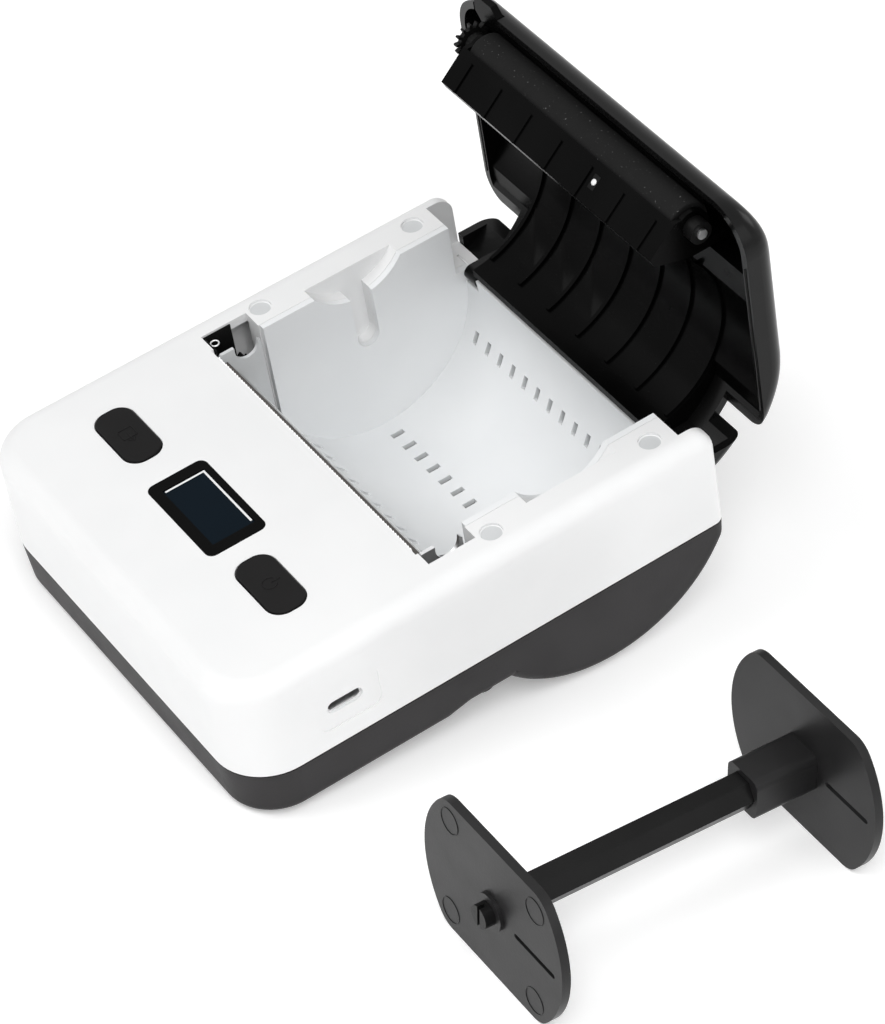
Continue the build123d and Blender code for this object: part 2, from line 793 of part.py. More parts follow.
with BuildPart() as head_springs:
    for side in (-1, 1):
        spring_foot = head_point(2.4, frame_back)
        spring_axis = (0, -head_back[0], -head_back[1])
        with BuildSketch(Plane(origin=(side * spring_x, *spring_foot), x_dir=(1, 0, 0), z_dir=spring_axis)):
            Circle(spring_radius)
            Circle(spring_radius - spring_wire, mode=Mode.SUBTRACT)
        extrude(amount=frame_back - ceramic - heat_plate - clear)


def side_plate_outline(has_motor):
    """Side plate of the mechanism, with the open hook that takes the platen bush."""
    rear = throat_rear - 0.7
    top = shell_height - 1.6
    front = pinion_centre[0] - motor_radius - 2.5 if has_motor else 50.0
    low = pinion_centre[1] - motor_radius if has_motor else pivot_centre[1] - 4.0
    points = [
        (front, low),
        (rear, low),
        (rear, top - 1.5),
        (rear - 1.5, top),
        (throat_front + 1.6, top),
        (throat_front + 1.0, shell_height - deck_wall - clear),
        (front + 6.0, shell_height - deck_wall - 6.0),
        (front, shell_height - deck_wall - 12.0),
    ]
    hook = bush_radius + clear
    with BuildSketch() as outline:
        add(as_face(points))
        with Locations(platen_centre):
            Circle(hook, mode=Mode.SUBTRACT)
        slot = [
            (platen_y - hook, platen_z),
            (platen_y + hook, platen_z),
            (platen_y + hook + 1.4, shell_height + 1),
            (platen_y - hook, shell_height + 1),
        ]
        add(as_face(slot), mode=Mode.SUBTRACT)
        with Locations(pivot_centre):
            Circle(pivot_pin_radius + fit, mode=Mode.SUBTRACT)
    return outline.sketch


with BuildPart() as side_plate_left:
    with BuildSketch(side_plane(-plate_inner)):
        add(side_plate_outline(True))
        with Locations(pinion_centre):
            Circle(2.4, mode=Mode.SUBTRACT)
    extrude(amount=-frame_sheet)
    with BuildSketch(side_plane(-plate_inner - frame_sheet)):
        with Locations(idler_centre):
            Circle(1.0)
    extrude(amount=-(gear_width + 2 * gear_gap))

with BuildPart() as side_plate_right:
    with BuildSketch(side_plane(plate_inner)):
        add(side_plate_outline(False))
    extrude(amount=frame_sheet)

# Motor and gears
with BuildPart() as motor:
    with BuildSketch(side_plane(-plate_inner + fit)):
        with Locations(pinion_centre):
            Circle(motor_radius)
    extrude(amount=motor_length)
    with BuildSketch(side_plane(-plate_inner + fit)):
        with Locations(pinion_centre):
            Circle(2.2)
    extrude(amount=-frame_sheet)

with BuildPart() as motor_pinion:
    with BuildSketch(side_plane(gear_left)):
        with Locations(pinion_centre):
            add(gear_outline(pinion_teeth, pinion_turn))
    extrude(amount=gear_width + gear_gap - fit)

with BuildPart() as idler_gear:
    with BuildSketch(side_plane(gear_left)):
        with Locations(idler_centre):
            add(gear_outline(idler_teeth, idler_turn))
            Circle(1.0 + fit, mode=Mode.SUBTRACT)
    extrude(amount=gear_width)

# Platen: steel axle, rubber roll and its gear
with BuildPart() as platen_axle:
    with BuildSketch(side_plane(-axle_left)):
        with Locations(platen_centre):
            Circle(journal_radius)
    extrude(amount=axle_left + axle_right)
    with BuildSketch(side_plane(-platen_half - 0.2)):
        with Locations(platen_centre):
            Circle(core_radius)
    extrude(amount=2 * platen_half + 0.4)

with BuildPart() as platen_roller:
    with BuildSketch(side_plane(-platen_half)):
        with Locations(platen_centre):
            Circle(platen_radius)
            Circle(core_radius, mode=Mode.SUBTRACT)
    extrude(amount=2 * platen_half)
    fillet(platen_roller.edges().filter_by(GeomType.CIRCLE).sort_by(SortBy.RADIUS)[-2:], 0.4)

with BuildPart() as platen_gear:
    with BuildSketch(side_plane(gear_left + gear_width - 1.6)):
        with Locations(platen_centre):
            add(gear_outline(platen_teeth, idler_angle + 180 / platen_teeth))
            Circle(journal_radius, mode=Mode.SUBTRACT)
    extrude(amount=-(gear_width - 1.6 - 0.2))

with BuildPart() as platen_bushes:
    for side in (-1, 1):
        with BuildSketch(side_plane(side * holder_half)):
            with Locations(platen_centre):
                Circle(bush_radius)
                Circle(journal_radius + fit, mode=Mode.SUBTRACT)
        extrude(amount=side * (bush_end - holder_half))

# Platen holder: the ribbed wedge behind the roller with its two end plates
wedge = [
    (platen_y - 3.3, platen_z - 4.7),
    (platen_y + 3.0, platen_z - 11.9),
    (platen_y + 5.3, platen_z - 10.9),
    (platen_y + 8.0, platen_z - 1.9),
    (platen_y + 8.0, lid_top - lid_wall),
    (platen_y + 5.6, lid_top - lid_wall),
    (platen_y + 5.6, platen_z + 2.1),
    (platen_y - 3.3, platen_z + 2.1),
]
face_run = (wedge[1][0] - wedge[0][0], wedge[1][1] - wedge[0][1])
face_length = hypot(*face_run)
face_out = (face_run[1] / face_length, -face_run[0] / face_length)
sensor_x = 15.0
with BuildPart() as platen_holder:
    with BuildSketch(side_plane(-holder_half)):
        add(as_face(wedge))
        with Locations(platen_centre):
            Circle(platen_radius + 0.5, mode=Mode.SUBTRACT)
    extrude(amount=2 * holder_half)
    for side in (-1, 1):
        with BuildSketch(side_plane(side * holder_half)):
            add(as_face(wedge))
            with Locations(platen_centre):
                Circle(bush_radius + 1.4)
                Circle(bush_radius + fit, mode=Mode.SUBTRACT)
        extrude(amount=side * holder_end_wall)
    rib_start = (
        wedge[0][0] + holder_rib_inset * face_run[0] / face_length,
        wedge[0][1] + holder_rib_inset * face_run[1] / face_length,
    )
    for index in range(7):
        x = (index - 3) * 12.0
        rib = [
            rib_start,
            wedge[1],
            (wedge[1][0] + holder_rib * face_out[0], wedge[1][1] + holder_rib * face_out[1]),
            (rib_start[0] + holder_rib * face_out[0], rib_start[1] + holder_rib * face_out[1]),
        ]
        with BuildSketch(side_plane(x - 0.4)):
            add(as_face(rib))
        extrude(amount=0.8)
    sensor_middle = (
        wedge[0][0] + 0.45 * face_run[0],
        wedge[0][1] + 0.45 * face_run[1],
    )
    sensor_plane = Plane(
        origin=(sensor_x, *sensor_middle),
        x_dir=(1, 0, 0),
        z_dir=(0, *face_out),
    )
    with BuildSketch(sensor_plane):
        Rectangle(2.2, 3.6)
    extrude(amount=-1.2, mode=Mode.SUBTRACT)

with BuildPart() as paper_sensor:
    with BuildSketch(sensor_plane.offset(-1.15)):
        Rectangle(2.2 - 2 * fit, 3.6 - 2 * fit)
    extrude(amount=1.2)

# Cover shell: rounded black cap with a rim, a tail skirt and two hinge knuckles
with BuildPart() as lid_cavity:
    with BuildSketch(Plane.YZ):
        add(lid_profile())
        offset(amount=-lid_wall)
    extrude(amount=body_width, both=True)
    with BuildSketch(Plane.XY):
        add(lid_outline(lid_wall))
    extrude(amount=lid_top, mode=Mode.INTERSECT)

# Room left inside the cavity for the pieces that fill it
with BuildPart() as lid_room:
    with BuildSketch(Plane.YZ):
        add(lid_profile())
        offset(amount=-(lid_wall + fit))
    extrude(amount=body_width, both=True)
    with BuildSketch(Plane.XY):
        add(lid_outline(lid_wall + fit))
    extrude(amount=lid_top, mode=Mode.INTERSECT)

# Everything of the cover above its rim, and the tail that drops into its slot
with BuildPart() as lid_keep:
    with BuildSketch(Plane.XY.offset(shell_height + seam_gap)):
        Rectangle(body_width + 1, 2 * (body_depth + 1))
    extrude(amount=lid_top)
    with BuildSketch(Plane.XY.offset(tail_bottom)):
        with Locations((0, tail_slot_front + clear + shell_wall * 2)):
            Rectangle(2 * tail_half, shell_wall * 4)
        with Locations((0, (lid_knee_y + body_depth) / 2)):
            Rectangle(2 * (bay_half - clear), body_depth - lid_knee_y)
    extrude(amount=lid_top)

tab_left = -48.0
tab_right = -38.5
tab_front = 54.2
tab_rear = 61.2
tab_low = shell_height + 0.4
tab_thick = 1.8
tab_cut = 2.2
with BuildPart() as lid_tail:
    with BuildSketch(Plane.YZ):
        add(lid_profile())
        with Locations((lid_knee_y + shell_height, lid_top / 2)):
            Rectangle(2 * shell_height - shell_wall, 2 * lid_top, mode=Mode.INTERSECT)
    extrude(amount=tail_half, both=True)
    falling_edges = [
        edge
        for edge in lid_tail.edges()
        if abs(edge.center().X) > tail_half - 1
        and edge.center().Z > tail_bottom + 1
        and edge.geom_type != GeomType.LINE
    ]
    fillet(falling_edges, lid_edge_round)

with BuildPart() as lid_shell:
    with BuildSketch(Plane.YZ):
        add(lid_profile(rolled=False))
    extrude(amount=body_width, both=True)
    with BuildSketch(Plane.XY):
        add(cap_outline(0))
    extrude(amount=lid_top + 1, mode=Mode.INTERSECT)
    crown_edges = [
        edge
        for edge in lid_shell.edges()
        if (abs(edge.center().X) > half_width - lid_front_corner - 1 or edge.center().Y < lid_front + 1)
        and edge.center().Z > shell_height - 6
        and abs((edge % 0.5).Z) < 0.95
    ]
    fillet(crown_edges, lid_nose_radius)
    add(lid_tail.part)
    add(lid_keep.part, mode=Mode.INTERSECT)
    add(lid_cavity.part, mode=Mode.SUBTRACT)
    for side in (-1, 1):
        arm = [
            (hinge_y - knuckle_radius, hinge_z),
            (hinge_y - knuckle_radius, hinge_z + 7.6),
            (body_depth - lid_wall + 0.3, hinge_z + 7.6),
            (body_depth - 0.4, tail_bottom),
            (hinge_y + knuckle_radius, hinge_z),
        ]
        with BuildSketch(side_plane(side * knuckle_inner)):
            add(as_face(arm))
            with Locations((hinge_y, hinge_z)):
                Circle(knuckle_radius)
                Circle(hinge_pin_radius + fit, mode=Mode.SUBTRACT)
        extrude(amount=side * (knuckle_outer - knuckle_inner))
    with BuildSketch(side_plane(-knuckle_outer)):
        with Locations((hinge_y, hinge_z)):
            Circle(hinge_pin_radius + fit)
    extrude(amount=2 * knuckle_outer, mode=Mode.SUBTRACT)
    with BuildSketch(Plane.XY.offset(shell_height)):
        with Locations(((tab_left + tab_right) / 2, lid_front)):
            Rectangle(tab_right - tab_left + 2 * clear, 4 * lid_wall)
    extrude(amount=tab_low - shell_height + tab_thick + clear, mode=Mode.SUBTRACT)

with BuildPart() as hinge_pins:
    for side in (-1, 1):
        with BuildSketch(side_plane(side * (knuckle_inner + 0.3))):
            with Locations((hinge_y, hinge_z)):
                Circle(hinge_pin_radius)
        extrude(amount=side * (support_outer - 1.8 - knuckle_inner - 0.3))

# Cover liner: concave inside face that runs down to a lip inside the trough, with arched ribs
with BuildPart() as lid_liner:
    add(lid_room.part)
    with BuildSketch(Plane.YZ):
        with Locations(((liner_front + body_depth) / 2, (liner_floor + lid_top) / 2)):
            Rectangle(body_depth - liner_front, lid_top - liner_floor)
        with Locations((bay_y, bay_z)):
            Circle(liner_radius, mode=Mode.SUBTRACT)
    extrude(amount=body_width, both=True, mode=Mode.INTERSECT)
    skirt_front = bay_y + liner_radius / 2
    with BuildSketch(Plane.YZ):
        add(lid_profile())
        offset(amount=-(lid_wall + fit))
        with Locations(((skirt_front + body_depth) / 2, (tail_bottom + lid_top) / 2)):
            Rectangle(body_depth - skirt_front, lid_top - tail_bottom, mode=Mode.INTERSECT)
        with Locations((bay_y, bay_z)):
            Circle(skirt_radius)
            Circle(liner_radius, mode=Mode.SUBTRACT)
        with Locations(((skirt_front + body_depth) / 2, (skirt_low + liner_floor + 1) / 2)):
            Rectangle(body_depth - skirt_front, liner_floor + 1 - skirt_low, mode=Mode.INTERSECT)
    extrude(amount=knuckle_inner - clear, both=True)
    for index in range(liner_rib_count):
        x = (index - (liner_rib_count - 1) / 2) * liner_rib_pitch
        with BuildSketch(side_plane(x - liner_rib_thick / 2)):
            with Locations((bay_y, bay_z)):
                Circle(liner_radius + 0.3)
                Circle(liner_radius - liner_rib, mode=Mode.SUBTRACT)
            with Locations((bay_y + liner_radius / 2, bay_z + liner_radius)):
                Rectangle(liner_radius * 2.2, 2 * (bay_z + liner_radius - rib_low), mode=Mode.INTERSECT)
        extrude(amount=liner_rib_thick)

# Front strip with its octagonal lift tab
with BuildPart() as front_strip:
    strip_low = platen_z + platen_radius + 0.35
    with BuildSketch(side_plane(-40.0)):
        with Locations((lid_front + lid_wall + 3.2, strip_low + 0.6)):
            Rectangle(4.0, 1.2)
        with Locations((lid_front + lid_wall + 1.1, (tab_low + strip_low) / 2 + 0.3)):
            Rectangle(1.2, strip_low - tab_low + 0.8)
    extrude(amount=81.0)
    with BuildSketch(Plane.XY.offset(tab_low)):
        with Locations((-41.5, lid_front + lid_wall + 2.0)):
            Rectangle(4.0, 2.6)
    extrude(amount=strip_low + 1.2 - tab_low)
    add(lid_room.part, mode=Mode.INTERSECT)
    with BuildSketch(Plane.XY.offset(tab_low)) as tab:
        with Locations(((tab_left + tab_right) / 2, (tab_front + tab_rear) / 2)):
            Rectangle(tab_right - tab_left, tab_rear - tab_front)
        chamfer(tab.vertices(), tab_cut)
    extrude(amount=tab_thick)

# Case screws, heads up inside the base
with BuildPart() as case_screws:
    for side in (-1, 1):
        for x, y in (front_boss, grip_boss):
            seat = -base_drop + base_wall + 2.0
            with BuildSketch(Plane.XY.offset(seat)):
                with Locations((side * x, y)):
                    Circle(screw_head_radius)
            extrude(amount=-screw_head)
            with BuildSketch(Plane.XY.offset(seat)):
                with Locations((side * x, y)):
                    Circle(screw_radius)
            extrude(amount=8.6 - seat)


def flange_outline():
    """Round flange with a flat above and below."""
    with BuildSketch() as outline:
        Circle(flange_radius)
        Rectangle(2 * flange_radius, 2 * flange_flat, mode=Mode.INTERSECT)
        fillet(outline.vertices(), flange_corner)
        with Locations((slit_x, 0)):
            SlotOverall(slit_length, slit_width, mode=Mode.SUBTRACT)
    return outline.sketch


def spindle_plane(distance):
    """Upright plane across the roll holder, the distance behind its near flange."""
    return Plane(
        origin=(spindle_x, spindle_y + distance, flange_flat),
        x_dir=(1, 0, 0),
        z_dir=(0, -1, 0),
    )


# Roll holder: rod with the near flange, and the flange that slides along it
with BuildPart() as holder_rod:
    with BuildSketch(spindle_plane(flange_thick + 0.02)):
        RegularPolygon(rod_across / 2, 6, major_radius=False)
    extrude(amount=-(flange_span - flange_thick))
    with BuildSketch(spindle_plane(-journal_out)):
        Circle(holder_journal_radius)
        Rectangle(0.9, 2 * holder_journal_radius + 1, mode=Mode.SUBTRACT)
    extrude(amount=-1.6)
    with BuildSketch(spindle_plane(-journal_out + 1.6)):
        Circle(holder_journal_radius)
    extrude(amount=-(journal_out - 1.6 + flange_thick + 0.1))
    with BuildSketch(spindle_plane(flange_span)):
        Circle(holder_journal_radius)
    extrude(amount=-journal_out)

with BuildPart() as fixed_flange:
    with BuildSketch(spindle_plane(0)):
        add(flange_outline())
        Circle(holder_journal_radius + fit, mode=Mode.SUBTRACT)
    extrude(amount=-flange_thick)
    with BuildSketch(spindle_plane(0)):
        Circle(holder_journal_radius + 1.7)
        Circle(holder_journal_radius + fit, mode=Mode.SUBTRACT)
    extrude(amount=0.9)

with BuildPart() as sliding_flange:
    with BuildSketch(spindle_plane(flange_span - flange_thick)):
        add(flange_outline())
        RegularPolygon(rod_across / 2 + loose, 6, major_radius=False, mode=Mode.SUBTRACT)
    extrude(amount=-flange_thick + loose)
    with BuildSketch(spindle_plane(flange_span - flange_thick)):
        RectangleRounded(sleeve_size, sleeve_size, 2.0)
        RegularPolygon(rod_across / 2 + loose, 6, major_radius=False, mode=Mode.SUBTRACT)
    extrude(amount=sleeve_length)

# Stand everything on the table, cover swung open, and write one file for each piece
swing_open = Location((0, hinge_y, hinge_z)) * Location((0, 0, 0), (-open_angle, 0, 0)) * Location(
    (0, -hinge_y, -hinge_z)
)
stand = table.location.inverse()
body_parts = {
    "top_shell": top_shell,
    "base_shell": base_shell,
    "feet": feet,
    "paper_bay": paper_bay,
    "screen_bezel": screen_bezel,
    "screen_window": screen_window,
    "display_module": display_module,
    "key_board": key_board,
    "key_switches": key_switches,
    "main_board": main_board,
    "board_chips": board_chips,
    "usb_socket": usb_socket,
    "battery_pack": battery_pack,
    "tear_bar": tear_bar,
    "print_head": print_head,
    "head_plate": head_plate,
    "head_pivot": head_pivot,
    "head_frame": head_frame,
    "head_springs": head_springs,
    "side_plate_left": side_plate_left,
    "side_plate_right": side_plate_right,
    "motor": motor,
    "motor_pinion": motor_pinion,
    "idler_gear": idler_gear,
    "hinge_pins": hinge_pins,
    "case_screws": case_screws,
    **buttons,
}
lid_parts = {
    "lid_shell": lid_shell,
    "lid_liner": lid_liner,
    "front_strip": front_strip,
    "platen_holder": platen_holder,
    "paper_sensor": paper_sensor,
    "platen_bushes": platen_bushes,
    "platen_axle": platen_axle,
    "platen_roller": platen_roller,
    "platen_gear": platen_gear,
}
table_parts = {
    "holder_rod": holder_rod,
    "fixed_flange": fixed_flange,
    "sliding_flange": sliding_flange,
}
placed = {name: stand * piece.part for name, piece in body_parts.items()}
placed.update({name: stand * swing_open * piece.part for name, piece in lid_parts.items()})
placed.update({name: piece.part for name, piece in table_parts.items()})

# The origin is the middle of the whole footprint, on the table
boxes = [shape.bounding_box() for shape in placed.values()]
middle_x = (min(box.min.X for box in boxes) + max(box.max.X for box in boxes)) / 2
middle_y = (min(box.min.Y for box in boxes) + max(box.max.Y for box in boxes)) / 2
centre_shift = Location((-middle_x, -middle_y, 0))
os.makedirs("parts", exist_ok=True)
for name, shape in placed.items():
    moved = centre_shift * shape
    moved.label = name
    export_step(moved, f"parts/{name}.step")
print("stand angle", round(stand_angle, 2), "shift", round(middle_x, 3), round(middle_y, 3))
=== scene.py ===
import math

import bpy
import numpy as np
from mathutils import Matrix, Vector


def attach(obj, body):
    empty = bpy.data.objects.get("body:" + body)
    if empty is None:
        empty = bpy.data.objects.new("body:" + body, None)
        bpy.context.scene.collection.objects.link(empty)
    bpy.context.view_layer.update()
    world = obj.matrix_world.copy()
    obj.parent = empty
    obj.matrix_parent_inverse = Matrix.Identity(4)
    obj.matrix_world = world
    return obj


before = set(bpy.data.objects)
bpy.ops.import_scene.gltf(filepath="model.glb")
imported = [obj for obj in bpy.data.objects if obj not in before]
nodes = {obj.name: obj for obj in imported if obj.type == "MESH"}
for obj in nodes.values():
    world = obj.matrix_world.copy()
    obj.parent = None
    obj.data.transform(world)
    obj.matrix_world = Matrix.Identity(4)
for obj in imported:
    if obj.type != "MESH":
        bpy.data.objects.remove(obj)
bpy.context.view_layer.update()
MM = 0.001


# ---------------------------------------------------------------- shader helpers
class Value:
    """A node's output that plain expressions turn into Math nodes: +, * and | for the larger of two."""

    def __init__(self, graph, socket):
        self.graph = graph
        self.socket = socket

    def math(self, operation, other):
        return self.graph.node("ShaderNodeMath", {"operation": operation}, {0: self, 1: other})

    def __add__(self, other):
        return self.math("ADD", other)

    def __mul__(self, other):
        return self.math("MULTIPLY", other)

    def __or__(self, other):
        return self.math("MAXIMUM", other)

    __radd__, __rmul__, __ror__ = __add__, __mul__, __or__


class Graph:
    """A node tree whose nodes all come from one method."""

    def __init__(self, tree):
        self.tree = tree

    def node(self, kind, settings, inputs, output=0):
        """A new node, its settings made before its inputs are fed, as the value of one of its outputs."""
        made = self.tree.nodes.new(kind)
        for key, value in settings.items():
            setattr(made, key, value)
        for key, value in inputs.items():
            self.feed(made.inputs[key], value)
        return Value(self, made.outputs[output])

    def feed(self, socket, value):
        """Links a value to the socket, or writes a plain number or colour on it."""
        if isinstance(value, Value):
            self.tree.links.new(value.socket, socket)
        else:
            socket.default_value = value


class Finish(Graph):
    """A named material on a Principled shader, whose patterns are laid in object coordinates."""

    def __init__(self, name, **fixed):
        self.material = bpy.data.materials.new(name)
        self.material.use_nodes = True
        super().__init__(self.material.node_tree)
        self.shader = self.tree.nodes["Principled BSDF"]
        self.set(**fixed)
        self.place = self.node("ShaderNodeTexCoord", {}, {}, "Object")

    def set(self, **sockets):
        for name, value in sockets.items():
            self.feed(self.shader.inputs[name.replace("_", " ")], value)

    def noise(self, scale, detail=3.0, roughness=0.55, stretch=(1, 1, 1)):
        placed = self.node("ShaderNodeMapping", {}, {"Vector": self.place, "Scale": stretch})
        inputs = {"Vector": placed, "Scale": scale, "Detail": detail, "Roughness": roughness}
        return self.node("ShaderNodeTexNoise", {}, inputs)

    def step(self, low, high, value):
        """0 below low, 1 above high and a smooth rise between."""
        inputs = {"Value": value, "From Min": low, "From Max": high}
        return self.node("ShaderNodeMapRange", {"interpolation_type": "SMOOTHSTEP"}, inputs)

    def mix(self, factor, first, second):
        """Colour that goes from first to second as the factor rises."""
        factor_in, first_in, second_in, colour_out = 0, 6, 7, 2
        inputs = {factor_in: factor, first_in: first, second_in: second}
        return self.node("ShaderNodeMix", {"data_type": "RGBA"}, inputs, colour_out)

    def bump(self, height, depth):
        return self.node("ShaderNodeBump", {}, {"Height": height, "Distance": depth * MM, "Strength": 1.0})


def grey(level, tint=(1, 1, 1)):
    """Opaque colour of one level, tinted."""
    return (level * tint[0], level * tint[1], level * tint[2], 1)


def moulded(name, colour, lighter, roughness, grain, grain_depth, coat=0.0, gloss=0.5):
    """Moulded plastic: fine grain, faint cloudy colour and a sheen that varies a little."""
    finish = Finish(name, Coat_Roughness=0.25, Specular_IOR_Level=gloss)
    cloud = finish.noise(scale=38, detail=2.0)
    sheen = finish.noise(scale=120, detail=3.0)
    fine = finish.noise(scale=grain, detail=4.0, roughness=0.6)
    finish.set(
        Base_Color=finish.mix(finish.step(0.35, 0.7, cloud), colour, lighter),
        Roughness=roughness - 0.05 + 0.12 * sheen,
        Normal=finish.bump(fine, grain_depth),
        Coat_Weight=coat * (0.7 + 0.3 * cloud),
    )
    return finish


def brushed(name, level, roughness, stretch):
    """Rolled or brushed metal with fine scratches along one direction."""
    finish = Finish(name, Metallic=1.0)
    lines = finish.noise(scale=900, detail=2.0, roughness=0.6, stretch=stretch)
    finish.set(
        Base_Color=finish.mix(lines, grey(level * 0.82), grey(level, (1, 1, 1.01))),
        Roughness=roughness - 0.06 + 0.14 * lines,
        Normal=finish.bump(lines, 0.02),
    )
    return finish


# ---------------------------------------------------------------- finishes
# Tints, and the stretch of scratches that run from left to right
WARM, WARMER = (1, 0.95, 0.98), (1, 0.95, 0.97)
SOOT, GRAPHITE, COOL = (1, 0.99, 1), (1, 0.98, 1.01), (0.97, 0.99, 1)
ALONG_X = (0.05, 1, 1)

white_case = moulded(
    "white_case",
    grey(0.86, (0.994, 0.998, 1)),
    grey(0.88, (0.996, 0.999, 1)),
    roughness=0.36,
    grain=1500,
    grain_depth=0.010,
    gloss=0.25,
)
bay_white = moulded(
    "bay_white",
    grey(0.87, (0.975, 0.99, 1)),
    grey(0.89, (0.98, 0.993, 1)),
    roughness=0.30,
    grain=1500,
    grain_depth=0.006,
    gloss=0.25,
)
charcoal = moulded(
    "charcoal_case",
    grey(0.027, WARM),
    grey(0.033, WARM),
    roughness=0.50,
    grain=2200,
    grain_depth=0.03,
    gloss=0.15,
)
cover_black = moulded(
    "cover_black",
    grey(0.003),
    grey(0.005),
    roughness=0.22,
    grain=1300,
    grain_depth=0.008,
    coat=0.06,
    gloss=0.15,
)
liner_black = moulded(
    "liner_black",
    grey(0.0012),
    grey(0.0025),
    roughness=0.24,
    grain=1300,
    grain_depth=0.008,
    gloss=0.04,
)
inner_black = moulded(
    "inner_black", grey(0.004), grey(0.008), roughness=0.38, grain=1400, grain_depth=0.02, gloss=0.09
)
button_black = moulded(
    "button_black",
    grey(0.006, WARMER),
    grey(0.009, WARMER),
    roughness=0.50,
    grain=2400,
    grain_depth=0.03,
    gloss=0.11,
)
bezel_black = moulded(
    "bezel_black", grey(0.001), grey(0.002), roughness=0.3, grain=1400, grain_depth=0.01, gloss=0.04
)
holder_black = moulded(
    "holder_black",
    grey(0.004, SOOT),
    grey(0.007, SOOT),
    roughness=0.34,
    grain=1700,
    grain_depth=0.03,
    gloss=0.15,
)
flange_grey = moulded(
    "flange_grey",
    grey(0.011, GRAPHITE),
    grey(0.017, GRAPHITE),
    roughness=0.36,
    grain=1700,
    grain_depth=0.02,
    coat=0.04,
    gloss=0.2,
)
gear_black = moulded(
    "gear_black", grey(0.005), grey(0.01), roughness=0.35, grain=1500, grain_depth=0.02, gloss=0.13
)
plate_grey = moulded(
    "plate_grey",
    grey(0.62, COOL),
    grey(0.68, COOL),
    roughness=0.4,
    grain=1500,
    grain_depth=0.01,
)
dot_white = moulded(
    "dot_white", grey(0.84), grey(0.88), roughness=0.3, grain=1500, grain_depth=0.005
)
steel = brushed("bright_steel", 0.86, 0.32, ALONG_X)
aluminium = brushed("head_aluminium", 0.68, 0.36, ALONG_X)

# Rubber of the roller and the feet, with pale specks of paper dust
rubber = Finish("roller_rubber", Specular_IOR_Level=0.1)
dust = rubber.step(0.69, 0.76, rubber.noise(scale=1500, detail=2.0, roughness=0.5))
rubber.set(
    Base_Color=rubber.mix(dust, grey(0.009), grey(0.10)),
    Roughness=0.62 + 0.18 * rubber.noise(scale=300),
    Normal=rubber.bump(rubber.noise(scale=2600), 0.03),
)

ceramic = Finish("head_ceramic")
ceramic.set(
    Base_Color=ceramic.mix(ceramic.noise(scale=200), (0.05, 0.045, 0.04, 1), (0.08, 0.07, 0.06, 1)),
    Roughness=0.12 + 0.10 * ceramic.noise(scale=500),
)

window = Finish("window_tint", Specular_IOR_Level=0.05)
window.set(
    Base_Color=window.mix(window.noise(scale=60), (0.0012, 0.0050, 0.0095, 1), (0.0018, 0.0075, 0.0140, 1)),
    Roughness=0.05 + 0.04 * window.noise(scale=300),
)

circuit = Finish("circuit_board")
tracks = circuit.step(0.5, 0.56, circuit.noise(scale=400))
circuit.set(
    Base_Color=circuit.mix(tracks, (0.01, 0.09, 0.04, 1), (0.02, 0.14, 0.06, 1)),
    Roughness=0.3 + 0.15 * circuit.noise(scale=300),
)

finishes = {
    "top_shell": white_case,
    "paper_bay": bay_white,
    "base_shell": charcoal,
    "feet": rubber,
    "screen_bezel": bezel_black,
    "screen_window": window,
    "display_module": window,
    "feed_button": button_black,
    "power_button": button_black,
    "key_board": circuit,
    "main_board": circuit,
    "key_switches": inner_black,
    "board_chips": inner_black,
    "battery_pack": inner_black,
    "usb_socket": steel,
    "tear_bar": steel,
    "print_head": ceramic,
    "head_plate": aluminium,
    "head_pivot": steel,
    "head_frame": inner_black,
    "head_springs": steel,
    "side_plate_left": plate_grey,
    "side_plate_right": steel,
    "motor": inner_black,
    "motor_pinion": gear_black,
    "idler_gear": gear_black,
    "platen_gear": gear_black,
    "hinge_pins": steel,
    "case_screws": steel,
    "lid_shell": cover_black,
    "lid_liner": liner_black,
    "front_strip": liner_black,
    "platen_holder": liner_black,
    "paper_sensor": inner_black,
    "platen_bushes": inner_black,
    "platen_axle": steel,
    "platen_roller": rubber,
    "holder_rod": holder_black,
    "fixed_flange": flange_grey,
    "sliding_flange": flange_grey,
}
for name, finish in finishes.items():
    slots = nodes[name].data.materials
    slots.clear()
    slots.append(finish.material)

# ---------------------------------------------------------------- surfaces worked out in numpy
# Where the CAD puts the printer's own origin in the row, the angle it stands at, the turning centre of
# the open cover and the peg of the roll holder
STAND = math.radians(8.162)
PRINTER_X, PRINTER_Y, PRINTER_Z = -44.05, -69.695, 13.31
SWING_Y, SWING_Z = 114.0, 136.8
PEG = (74.25, -47.995, 18.5)


def on_printer(points):
    """Row place in metres of points in the printer's own millimetres: x right, y rear, z up.

    (x, y, z) -> (x + X, y cos a - z sin a + Y, y sin a + z cos a + Z) with a the stand angle."""
    x, y, z = np.asarray(points, float).T
    row_y = y * math.cos(STAND) - z * math.sin(STAND) + PRINTER_Y
    row_z = y * math.sin(STAND) + z * math.cos(STAND) + PRINTER_Z
    return np.column_stack([x + PRINTER_X, row_y, row_z]) * MM


def on_cover(points):
    """Row place of points given as they lie with the cover shut: swung a quarter turn about the hinge.

    (y, z) -> (z + SWING_Y, SWING_Z - y), then placed like the printer."""
    x, y, z = np.asarray(points, float).T
    return on_printer(np.column_stack([x, z + SWING_Y, SWING_Z - y]))


def on_table(points):
    """Row place in metres of points in millimetres from the roll holder's peg: x right, y rear, z up."""
    return (np.asarray(points, float) + PEG) * MM


